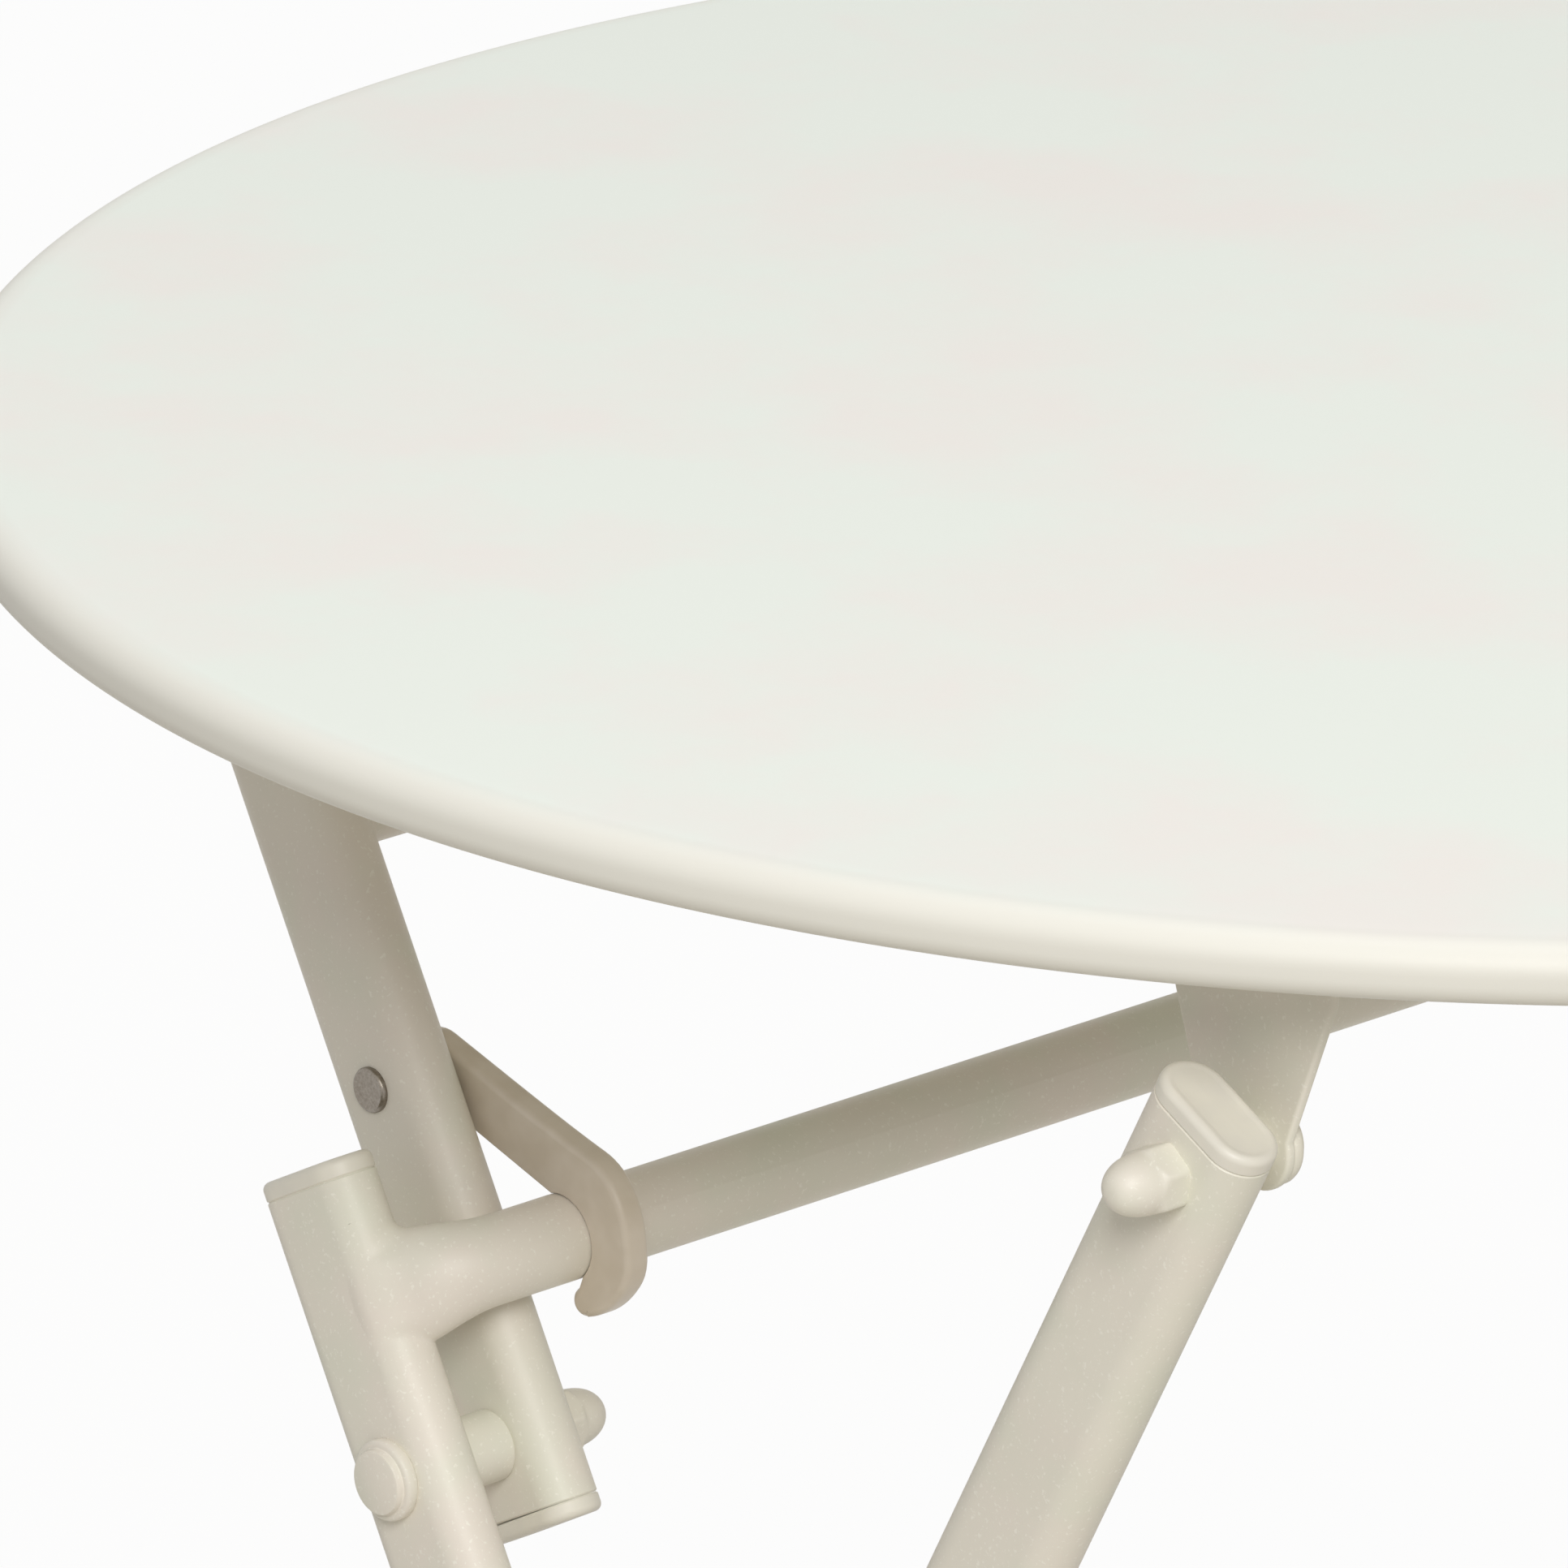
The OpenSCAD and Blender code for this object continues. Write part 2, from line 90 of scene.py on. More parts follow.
LEG_HINGE = middle("hinge_heads")
LEAN = math.atan2(LEG_HINGE.x, LEG_HINGE.z - CROSSING.z)
TOP_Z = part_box("top_sheet")[1].z
TOP_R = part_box("top_sheet")[1].x
RIM_H = TOP_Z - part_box("top_sheet")[0].z

OUTER_IN, OUTER_OUT = layer("outer_leg_near")
INNER_IN, INNER_OUT = layer("inner_leg_near")
ARM_IN, ARM_OUT = layer("link_arm_near")
TUBE_T = OUTER_OUT - OUTER_IN
TUBE_W = 2 * TUBE_T


def along_leg(point):
    """Distance of a hinge point from the crossing."""
    return math.hypot(point.x - CROSSING.x, point.z - CROSSING.z)


LEG_UP = along_leg(LEG_HINGE)
ELBOW_S = along_leg(ELBOW)
LINK_S = along_leg(LINK)
LATCH_PIN_S = along_leg(LATCH_PIN)


def from_leg(lean_dir, point):
    """(across, along) of a point in the frame of a leg that leans to lean_dir."""
    dx, dz = point.x - CROSSING.x, point.z - CROSSING.z
    angle = lean_dir * LEAN
    across = dx * math.cos(angle) - dz * math.sin(angle)
    along = dx * math.sin(angle) + dz * math.cos(angle)
    return across, along


def on_leg(lean_dir, side):
    """Turns (across, outwards, along) on a leg into a point of the table."""
    angle = lean_dir * LEAN

    def place(across, out, along):
        return Vector((
            CROSSING.x + across * math.cos(angle) + along * math.sin(angle),
            side * out,
            CROSSING.z - across * math.sin(angle) + along * math.cos(angle),
        ))
    return place


def on_side(side):
    """Turns (x, outwards, z) into a point of the table."""
    return lambda x, out, z: Vector((x, side * out, z))


# ---- Mesh building ----

SMOOTH_ANGLE = math.radians(38)


class Form:
    """Vertices and faces of one piece, gathered from lofted solids."""

    def __init__(self):
        self.points = []
        self.faces = []

    def loft(self, rings):
        """Skins a closed solid over rings that have the same number of points."""
        count = len(rings[0])
        base = len(self.points)
        for ring in rings:
            self.points.extend(ring)
        for row in range(len(rings) - 1):
            here, there = base + row * count, base + (row + 1) * count
            for i in range(count):
                j = (i + 1) % count
                self.faces.append((here + i, here + j, there + j, there + i))
        last = base + (len(rings) - 1) * count
        self.faces.append(tuple(range(base, base + count)))
        self.faces.append(tuple(range(last, last + count)))
        return self

    def piece(self, name, body, material, replaced=()):
        """Makes the object, which rides on its body and stands in for the replaced nodes."""
        mesh = bpy.data.meshes.new(name)
        mesh.from_pydata(self.points, [], self.faces)
        work = bmesh.new()
        work.from_mesh(mesh)
        bmesh.ops.recalc_face_normals(work, faces=work.faces)
        for face in work.faces:
            face.smooth = True
        for edge in work.edges:
            edge.smooth = edge.calc_face_angle(0) < SMOOTH_ANGLE
        work.to_mesh(mesh)
        work.free()
        thing = bpy.data.objects.new(name, mesh)
        bpy.context.scene.collection.objects.link(thing)
        mesh.materials.append(MATERIALS[material])
        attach(thing, body)
        if replaced:
            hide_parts(*replaced)
        return thing


def arc(start, end, steps):
    """Angles from start to end in degrees, both ends in, as radians."""
    return [math.radians(start + (end - start) * i / steps) for i in range(steps + 1)]


def oval(width, thick, steps=16):
    """Flat-oval outline: two half circles joined by straight sides."""
    radius = thick / 2
    reach = width / 2 - radius
    right = [(reach + radius * math.cos(a), radius * math.sin(a)) for a in arc(-90, 90, steps)]
    return right + [(-x, -y) for x, y in right]


def circle(radius, steps=48):
    """Points of a circle."""
    turns = (2 * math.pi * i / steps for i in range(steps))
    return [(radius * math.cos(a), radius * math.sin(a)) for a in turns]


def oval_rings(place, mid_out, profile, width=TUBE_W, thick=TUBE_T, tilt=0.0):
    """Rings of a flat oval along a leg. The profile lists (inset, distance along the leg)."""
    rings = []
    for inset, along in profile:
        outline = oval(width - 2 * inset, thick - 2 * inset)
        rings.append([place(x, mid_out + y, along + tilt * x) for x, y in outline])
    return rings


def turned_rings(centre, side, profile, shape=circle):
    """Rings round an axis along Y through centre. The profile lists (radius, distance out)."""
    rings = []
    for radius, out in profile:
        rings.append([Vector((centre.x + u, side * out, centre.z + v)) for u, v in shape(radius)])
    return rings


# ---- Materials ----

def srgb(red, green, blue):
    """Linear colour from 0-255 screen values."""
    def linear(value):
        value /= 255
        return value / 12.92 if value <= 0.04045 else ((value + 0.055) / 1.055) ** 2.4
    return linear(red), linear(green), linear(blue), 1


# The top's tones are the frame's one paint with painted light: paler and cooler as lit from above
TOP_LIT_PALE = srgb(232, 237, 229)
TOP_ROSE = srgb(236, 232, 226)
# Painted shade: the rim's darker, warmer cream where its side turns from the light
RIM_SHADE_CREAM = srgb(227, 225, 216)
FRAME_CREAM = srgb(233, 229, 216)
FRAME_ROSE = srgb(233, 225, 214)
FRAME_GREEN = srgb(228, 227, 212)
CAP_CREAM = srgb(228, 224, 213)
# Colour of the painted glint highlights
GLINT_HIGHLIGHT = srgb(250, 248, 238)
HOOK_TAUPE = srgb(222, 211, 195)
HOOK_DARK = srgb(214, 202, 184)
STEEL_DARK = srgb(126, 117, 106)
STEEL_LIGHT = srgb(158, 151, 141)

# The powder coat: sizes of its grain, its painted glints and its orange peel, and the depth of the
# grain
GRAIN = 0.45 * MM
GLINT = 0.9 * MM
PEEL = 3.2 * MM
GRAIN_DEPTH = 0.06 * MM
FRAME_CLOUD = 60 * MM                   # size of the clouds in the frame's colour
TOP_CLOUD = 75 * MM


class Nodes:
    """Shortcut for a material's node tree."""

    def __init__(self, name):
        self.material = bpy.data.materials.new(name)
        self.material.use_nodes = True
        self.tree = self.material.node_tree
        self.shader = self.tree.nodes["Principled BSDF"]
        self.position = self.add("ShaderNodeTexCoord").outputs["Object"]

    def add(self, kind, **values):
        node = self.tree.nodes.new(kind)
        for name, value in values.items():
            if name in node.inputs:
                node.inputs[name].default_value = value
            else:
                setattr(node, name, value)
        return node

    def link(self, output, target):
        self.tree.links.new(output, target)

    def noise(self, size, detail=2.0, rough=0.5):
        node = self.add("ShaderNodeTexNoise", Scale=1 / size, Detail=detail, Roughness=rough)
        self.link(self.position, node.inputs["Vector"])
        return node.outputs["Fac"]

    def spread(self, value, low, high, out_low=0.0, out_high=1.0):
        """Stretches a value's range low-high to out_low-out_high."""
        node = self.add("ShaderNodeMapRange")
        for index, number in enumerate((low, high, out_low, out_high), start=1):
            node.inputs[index].default_value = number
        self.link(value, node.inputs[0])
        return node.outputs[0]

    def mix(self, factor, first, second):
        node = self.add("ShaderNodeMix", data_type="RGBA")
        self.link(factor, node.inputs["Factor"])
        for socket, value in ((node.inputs[6], first), (node.inputs[7], second)):
            if isinstance(value, tuple):
                socket.default_value = value
            else:
                self.link(value, socket)
        return node.outputs[2]

    def bump(self, height, strength, distance, under=None):
        node = self.add("ShaderNodeBump", Strength=strength, Distance=distance)
        self.link(height, node.inputs["Height"])
        if under:
            self.link(under, node.inputs["Normal"])
        return node.outputs["Normal"]

    def finish(self, colour, roughness, normal):
        self.link(colour, self.shader.inputs["Base Color"])
        self.link(roughness, self.shader.inputs["Roughness"])
        self.link(normal, self.shader.inputs["Normal"])
        return self.material


def powder_coat(name, first, second, third, mottle):
    """Satin powder coat: soft clouds of three tints, fine grain, painted glint highlights and a light
    orange peel.
    """
    n = Nodes(name)
    clouds = n.spread(n.noise(mottle, 3.0), 0.38, 0.62)
    patches = n.spread(n.noise(mottle * 0.37, 2.0), 0.45, 0.7)
    tint = n.mix(patches, n.mix(clouds, first, second), third)
    grain = n.noise(GRAIN, 3.0, 0.6)
    shaded = n.mix(n.spread(grain, 0.3, 0.7, 0.0, 0.16), tint, CAP_CREAM)
    # Painted highlights: sparse glints mixed into the base colour
    glints = n.spread(n.noise(GLINT, 1.0), 0.63, 0.74, 0.0, 0.5)
    colour = n.mix(glints, shaded, GLINT_HIGHLIGHT)
    peel = n.bump(n.noise(PEEL, 1.0), 0.10, 0.25 * MM)
    normal = n.bump(grain, 0.16, GRAIN_DEPTH, peel)
    return n.finish(colour, n.spread(grain, 0.3, 0.7, 0.40, 0.54), normal)


def top_coat():
    """The top's powder coat: the one paint painted paler and cooler on the flat as lit from above,
    creamier over the rolled edge as painted shade.
    """
    n = Nodes("top_paint")
    clouds = n.spread(n.noise(TOP_CLOUD, 4.0, 0.6), 0.42, 0.66)
    # Painted light from above in the flat's tones; the rose clouds are random mottling
    flat = n.mix(clouds, TOP_LIT_PALE, TOP_ROSE)
    apart = n.add("ShaderNodeSeparateXYZ")
    n.link(n.position, apart.inputs[0])
    across = n.add("ShaderNodeCombineXYZ")
    n.link(apart.outputs[0], across.inputs[0])
    n.link(apart.outputs[1], across.inputs[1])
    reach = n.add("ShaderNodeVectorMath", operation="LENGTH")
    n.link(across.outputs[0], reach.inputs[0])
    # Painted shade: the colour turns to the rim's cream by reach from the axis and drop below the top
    edge = n.spread(reach.outputs["Value"], TOP_R - 9 * MM, TOP_R - 2.2 * MM)
    below = n.spread(apart.outputs[2], TOP_Z - 0.8 * MM, TOP_Z - 4 * MM)
    rolled = n.add("ShaderNodeMath", operation="MAXIMUM")
    n.link(edge, rolled.inputs[0])
    n.link(below, rolled.inputs[1])
    colour = n.mix(rolled.outputs[0], flat, RIM_SHADE_CREAM)
    grain = n.noise(GRAIN, 3.0, 0.6)
    peel = n.bump(n.noise(PEEL, 1.0), 0.08, 0.2 * MM)
    normal = n.bump(grain, 0.14, GRAIN_DEPTH, peel)
    return n.finish(colour, n.spread(grain, 0.3, 0.7, 0.44, 0.58), normal)


def moulded(name, first, second, roughness):
    """Moulded plastic: even colour with faint flow marks and a fine spark-eroded texture."""
    n = Nodes(name)
    flow = n.spread(n.noise(9 * MM, 2.0), 0.35, 0.65)
    fine = n.noise(0.3 * MM, 2.0)
    normal = n.bump(fine, 0.10, 0.04 * MM)
    return n.finish(n.mix(flow, first, second),
                    n.spread(fine, 0.3, 0.7, roughness - 0.05, roughness + 0.05), normal)


def bare_steel():
    """Turned stainless steel with fine scuffs."""
    n = Nodes("bare_steel")
    n.shader.inputs["Metallic"].default_value = 0.9
    scuffs = n.spread(n.noise(0.8 * MM, 4.0, 0.7), 0.3, 0.7)
    normal = n.bump(scuffs, 0.2, 0.05 * MM)
    return n.finish(n.mix(scuffs, STEEL_DARK, STEEL_LIGHT),
                    n.spread(scuffs, 0.0, 1.0, 0.28, 0.42), normal)


MATERIALS = {
    "top_paint": top_coat(),
    "frame_paint": powder_coat("frame_paint", FRAME_CREAM, FRAME_ROSE, FRAME_GREEN, FRAME_CLOUD),
    "cap_plastic": moulded("cap_plastic", CAP_CREAM, FRAME_CREAM, 0.45),
    "hook_plastic": moulded("hook_plastic", HOOK_TAUPE, HOOK_DARK, 0.36),
    "bare_steel": bare_steel(),
}
for part in frame["record"]["subparts"]:
    slots = frame["nodes"][part["node"]].data.materials
    slots.clear()
    slots.append(MATERIALS[part["material_slot"]])


# ---- Tabletop ----

SHEET_T = 1.5 * MM
LIP_W = 9 * MM                          # lip turned in under the edge
RIM_R_UP = 6.5 * MM
RIM_R_LOW = 4.5 * MM


def tabletop():
    """Round sheet with its edge rolled down and in, turned about the Z axis."""
    rim_steps = 10

    def edge(inset):
        up, low = RIM_R_UP - inset, RIM_R_LOW - inset
        z_low = TOP_Z - RIM_H + inset
        upper = [(TOP_R - RIM_R_UP + up * math.cos(a), TOP_Z - RIM_R_UP + up * math.sin(a))
                 for a in arc(90, 0, rim_steps)]
        lower = [(TOP_R - RIM_R_LOW + low * math.cos(a), z_low + low * (1 + math.sin(a)))
                 for a in arc(0, -90, rim_steps)]
        return upper + lower

    flat = [TOP_R * part for part in (0.02, 0.25, 0.5, 0.75, 0.9, 0.965)]
    profile = [(r, TOP_Z) for r in flat] + edge(0)
    profile += [(TOP_R - LIP_W, TOP_Z - RIM_H), (TOP_R - LIP_W, TOP_Z - RIM_H + SHEET_T)]
    profile += edge(SHEET_T)[::-1] + [(r, TOP_Z - SHEET_T) for r in flat[::-1]]
    rings = []
    for radius, z in profile:
        rings.append([Vector((x, y, z)) for x, y in circle(radius, 360)])
    Form().loft(rings).piece("tabletop", "tabletop", "top_paint", ["top_sheet"])


def inset_outline(outline, distances):
    """Moves each point of an outline inwards by its own distance."""
    count = len(outline)
    area = sum(outline[i - 1][0] * outline[i][1] - outline[i][0] * outline[i - 1][1]
               for i in range(count))
    turn = 1 if area > 0 else -1
    moved = []
    for i, (x, y) in enumerate(outline):
        before, after = outline[i - 1], outline[(i + 1) % count]
        first = Vector((y - before[1], before[0] - x)).normalized()
        second = Vector((after[1] - y, x - after[0])).normalized()
        normal = (first + second).normalized()
        step = distances[i] / max(normal.dot(first), 0.5)
        moved.append((x - turn * normal.x * step, y - turn * normal.y * step))
    return moved


def plate_rings(place, outline, inner, outer, radii):
    """Flat plate over an outline, from inner to outer. Each point's edge is rounded by its radius."""
    rings = []
    for start, direction in ((inner, 1), (outer, -1)):
        part = []
        for a in arc(0, 90, 5):
            moved = inset_outline(outline, [r * (1 - math.sin(a)) for r in radii])
            part.append([place(x, start + direction * r * (1 - math.cos(a)), y)
                         for (x, y), r in zip(moved, radii)])
        rings += part if direction == 1 else part[::-1]
    return rings


BRACKET_EDGE = 0.9 * MM
BRACKET_STRAIGHT = 24 * MM              # from the top's underside down to a leg bracket's shoulders
# Where the sides bend: shares of the plate's reach, of the shoulders' height and of the nose's radius
KNEE_IN = 0.7
KNEE_UP = 0.3
FOOT_OUT = 0.84


def bracket_outline(hinge, low, high, shoulder_z, top_z):
    """Plate outline that hangs from top_z and narrows to a nose round the hinge."""
    inward = -1 if hinge.x > 0 else 1
    reach_in = max(inward * (low.x - hinge.x), inward * (high.x - hinge.x))
    reach_out = (high.x - low.x) - reach_in
    radius = hinge.z - low.z
    rise = shoulder_z - hinge.z
    knee = (KNEE_IN * reach_in, KNEE_UP * rise)
    touch = math.degrees(math.atan2(knee[1], knee[0]) - math.acos(radius / math.hypot(*knee)))
    # The outer edge runs towards a point beside the hinge and meets the nose on the way
    foot = -FOOT_OUT * radius
    run = (-reach_out - foot, rise)
    length = math.hypot(*run)
    closest = -foot * run[0] / length
    step = (closest + math.sqrt(closest ** 2 + radius ** 2 - foot ** 2)) / length
    waist = math.degrees(math.atan2(step * run[1], foot + step * run[0]))
    nose = [(radius * math.cos(a), radius * math.sin(a)) for a in arc(waist, touch + 360, 24)]
    points = [(reach_in, rise), (reach_in, top_z - hinge.z), (-reach_out, top_z - hinge.z),
              (-reach_out, rise)] + nose + [knee]
    return [(hinge.x + inward * x, hinge.z + z) for x, z in points]


def brackets():
    """The plates that the legs and the link arms hang on."""
    rail_low, rail_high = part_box("rail_near")
    shoulders = {"leg": rail_high.z - BRACKET_STRAIGHT, "link": rail_low.z}
    for kind, hinge in (("leg", LEG_HINGE), ("link", LINK)):
        low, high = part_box(f"{kind}_bracket_near")
        inner, outer = layer(f"{kind}_bracket_near")
        outline = bracket_outline(hinge, low, high, shoulders[kind], rail_high.z)
        radii = [BRACKET_EDGE] * len(outline)
        for tag, side in SIDES.items():
            name = f"{kind}_bracket_{tag}"
            rings = plate_rings(on_side(side), outline, inner, outer, radii)
            Form().loft(rings).piece(name + "_plate", "tabletop", "frame_paint", [name])


# ---- Tubes, caps and feet ----

SEAM = 0.35 * MM                        # rounding of a tube's cut end


def tube_span(node, lean_dir):
    """Distances along a leg at which a tube node starts and ends, from its box."""
    low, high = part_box(node)
    half_across = TUBE_W / 2 * math.sin(LEAN)
    return ((low.z + half_across - CROSSING.z) / math.cos(LEAN),
            (high.z - half_across - CROSSING.z) / math.cos(LEAN))


def tube(name, body, lean_dir, side, inner, span, replaced):
    """Flat-oval tube with softened ends."""
    start, end = span
    profile = [(SEAM, start), (0, start + SEAM), (0, end - SEAM), (SEAM, end)]
    rings = oval_rings(on_leg(lean_dir, side), inner + TUBE_T / 2, profile)
    return Form().loft(rings).piece(name, body, "frame_paint", replaced)


CAP_T = 4.2 * MM
CAP_ROUND = 1.7 * MM                    # rounding of a cap's outer edge
CAP_BEAD = 2.5 * MM                     # from the cap's edge to the sunk face
CAP_SINK = 0.3 * MM
PLUG_INSET = 1.6 * MM
PLUG_H = 6 * MM


def cap_rings(lean_dir, side, inner, end, direction, gap=0.0, tilt=0.0):
    """End cap: plug, flange with a rounded bead, and a face sunk a little inside it."""
    start = end + direction * gap
    face = end + direction * CAP_T
    profile = [(PLUG_INSET, end - direction * PLUG_H), (PLUG_INSET, start), (SEAM, start),
               (0, start + direction * SEAM)]
    profile += [(CAP_ROUND * (1 - math.sin(a)), face - direction * CAP_ROUND * (1 - math.cos(a)))
                for a in arc(90, 20, 7)]
    profile += [(CAP_ROUND - 0.2 * MM, face), (CAP_BEAD - 0.5 * MM, face - direction * 0.1 * MM),
                (CAP_BEAD, face - direction * 0.7 * CAP_SINK),
                (CAP_BEAD + 0.5 * MM, face - direction * CAP_SINK),
                (TUBE_T / 2 - 0.4 * MM, face - direction * (CAP_SINK - 0.15 * MM))]
    return oval_rings(on_leg(lean_dir, side), inner + TUBE_T / 2, profile, tilt=tilt)


FOOT_WALL = 2 * MM
FOOT_LIP = 0.8 * MM                     # rounding of a foot's top edge


def foot_rings(lean_dir, side, inner, top_along):
    """Plastic shoe with a rolled top edge and a sole cut flat on the floor."""
    place = on_leg(lean_dir, side)
    mid = inner + TUBE_T / 2
    touch = FOOT_WALL - 0.1 * MM
    profile = [(touch, top_along - 2 * MM), (touch, top_along - 0.4 * MM),
               (touch - 0.5 * MM, top_along), (FOOT_LIP, top_along), (0, top_along - FOOT_LIP)]
    rings = oval_rings(place, mid, profile, TUBE_W + 2 * FOOT_WALL, TUBE_T + 2 * FOOT_WALL)

    def level(inset, height):
        """Ring at one height over the floor."""
        spare = 2 * (FOOT_WALL - inset)
        outline = oval(TUBE_W + spare, TUBE_T + spare)
        ring = []
        for across, thick in outline:
            drop = CROSSING.z - height - lean_dir * across * math.sin(LEAN)
            ring.append(place(across, mid + thick, -drop / math.cos(LEAN)))
        return ring
    return rings + [level(0, 1.2 * MM), level(0.35 * MM, 0.35 * MM), level(1.2 * MM, 0)]


def legs():
    """The four legs with their caps and feet."""
    pairs = (("outer", OUTER, OUTER_IN, "outer_legs"), ("inner", INNER, INNER_IN, "inner_legs"))
    for kind, lean_dir, inner, body in pairs:
        span = tube_span(f"{kind}_leg_near", lean_dir)
        foot_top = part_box(f"{kind}_foot_near")[1].z
        half_across = (TUBE_W / 2 + FOOT_WALL) * math.sin(LEAN)
        top_along = (foot_top - half_across - CROSSING.z) / math.cos(LEAN)
        for tag, side in SIDES.items():
            tube(f"{kind}_tube_{tag}", body, lean_dir, side, inner, span, [f"{kind}_leg_{tag}"])
            Form().loft(cap_rings(lean_dir, side, inner, span[1], 1)).piece(
                f"{kind}_leg_cap_{tag}", body, "cap_plastic", [f"{kind}_cap_{tag}"])
            Form().loft(foot_rings(lean_dir, side, inner, top_along)).piece(
                f"{kind}_shoe_{tag}", body, "cap_plastic", [f"{kind}_foot_{tag}"])


LOOSE_GAP = 0.28 * MM                   # gap behind the caps that sit askew in the arms
LOOSE_TILT = 0.017                      # their slope across the arm


def link_arms():
    """The two link arms with a cap on each end. The lower caps sit a little askew."""
    span = tube_span("link_arm_near", INNER)
    top_caps = Form()
    for tag, side in SIDES.items():
        tube(f"arm_tube_{tag}", "link_frame", INNER, side, ARM_IN, span, [f"link_arm_{tag}"])
        Form().loft(cap_rings(INNER, side, ARM_IN, span[0], -1, LOOSE_GAP, LOOSE_TILT)).piece(
            f"arm_end_cap_{tag}", "link_frame", "cap_plastic", [f"arm_low_cap_{tag}"])
        top_caps.loft(cap_rings(INNER, side, ARM_IN, span[1], 1))
    top_caps.piece("arm_upper_caps", "link_frame", "cap_plastic", ["arm_top_caps"])


# ---- Fasteners ----

NUT_AF = 13 * MM                        # width across the flats
NUT_HEX_H = 7 * MM
NUT_H = 15.4 * MM
NUT_TURN = math.radians(-8)
NUT_CORNER_R = 7.42 * MM
NUT_CHAMFER = 0.7 * MM
DOME_R = 6.4 * MM
DOME_FROM = NUT_HEX_H - 0.5 * MM


def hexagon_in(limit):
    """Hexagon of the nut's width with its corners turned down to a radius of limit."""
    steps = 72
    outline = []
    for i in range(steps):
        a = 2 * math.pi * i / steps
        from_flat = (a - NUT_TURN + math.pi / 6) % (math.pi / 3) - math.pi / 6
        r = min(NUT_AF / 2 / math.cos(from_flat), limit)
        outline.append((r * math.cos(a), r * math.sin(a)))
    return outline


def acorn_rings(centre, side, seat, direction):
    """Acorn nut: chamfered hexagon under a dome, its edges softened by the paint."""
    profile = [(NUT_CORNER_R - 0.2 * MM, 0), (NUT_CORNER_R, 0.25 * MM), (NUT_CORNER_R, 0.9 * MM),
               (NUT_CORNER_R, DOME_FROM - 2 * NUT_CHAMFER),
               (NUT_CORNER_R - 0.2 * MM, DOME_FROM - NUT_CHAMFER),
               (DOME_R + 0.35 * MM, DOME_FROM - 0.3 * NUT_CHAMFER),
               (DOME_R + 0.1 * MM, DOME_FROM + 0.2 * MM)]
    profile += [(DOME_R * math.cos(a) ** 0.8, DOME_FROM + (NUT_H - DOME_FROM) * math.sin(a))
                for a in arc(6, 86, 14)]
    placed = [(radius, seat + direction * height) for radius, height in profile]
    return turned_rings(centre, side, placed, hexagon_in)


BUTTON_RING_R = 8.9 * MM
BUTTON_RING_H = 2.8 * MM
BUTTON_R = 7.2 * MM
BUTTON_H = 4.5 * MM
SPACER_R = 7.8 * MM


def button_rings(centre, side, seat, direction):
    """Two-step button head: a rounded ring and a flat cap inside it."""
    soft = 0.9 * MM
    step = BUTTON_RING_H
    profile = [(BUTTON_RING_R - 0.3 * MM, 0), (BUTTON_RING_R, 0.4 * MM),
               (BUTTON_RING_R, step - soft),
               (BUTTON_RING_R - 0.25 * MM, step - soft / 3), (BUTTON_RING_R - 0.7 * MM, step),
               (BUTTON_R + 0.25 * MM, step), (BUTTON_R + 0.05 * MM, step + 0.2 * MM),
               (BUTTON_R, BUTTON_H - soft), (BUTTON_R - soft / 3, BUTTON_H - soft / 4),
               (BUTTON_R - soft, BUTTON_H), (0.1 * MM, BUTTON_H)]
    return turned_rings(centre, side, [(r, seat + direction * h) for r, h in profile])


def spacer_rings(centre, side, inner, outer):
    """Spacer between a leg and an arm, its edges softened."""
    soft = 0.5 * MM
    return turned_rings(centre, side, [(SPACER_R - soft, inner), (SPACER_R, inner + soft),
                                       (SPACER_R, outer - soft), (SPACER_R - soft, outer)])


def fasteners():
    """Nuts, button heads and elbow spacers, on both sides of the table."""
    bracket_in, _ = layer("leg_bracket_near")
    hinge_nuts, hinge_heads, cross_nuts = Form(), Form(), Form()
    elbow_nuts, elbow_tubes, elbow_heads = Form(), Form(), Form()
    for side in SIDES.values():
        hinge_nuts.loft(acorn_rings(LEG_HINGE, side, OUTER_OUT, 1))
        hinge_heads.loft(button_rings(LEG_HINGE, side, bracket_in, -1))
        cross_nuts.loft(acorn_rings(CROSSING, side, OUTER_OUT, 1))
        elbow_nuts.loft(acorn_rings(ELBOW, side, ARM_IN, -1))
        elbow_tubes.loft(spacer_rings(ELBOW, side, ARM_OUT, INNER_IN))
        elbow_heads.loft(button_rings(ELBOW, side, INNER_OUT, 1))
    hinge_nuts.piece("hinge_acorns", "outer_legs", "frame_paint", ["hinge_nuts"])
    hinge_heads.piece("hinge_buttons", "tabletop", "frame_paint", ["hinge_heads"])
    cross_nuts.piece("cross_acorns", "outer_legs", "frame_paint", ["cross_nuts"])
    elbow_nuts.piece("elbow_acorns", "inner_legs", "frame_paint", ["elbow_nuts"])
    elbow_tubes.piece("elbow_tubes", "inner_legs", "frame_paint", ["elbow_spacers"])
    elbow_heads.piece("elbow_heads", "inner_legs", "frame_paint", ["elbow_buttons", "elbow_rings"])


RIVET_R = 2.5 * MM
RIVET_HEAD_R = 5 * MM
RIVET_HEAD_H = 1.4 * MM


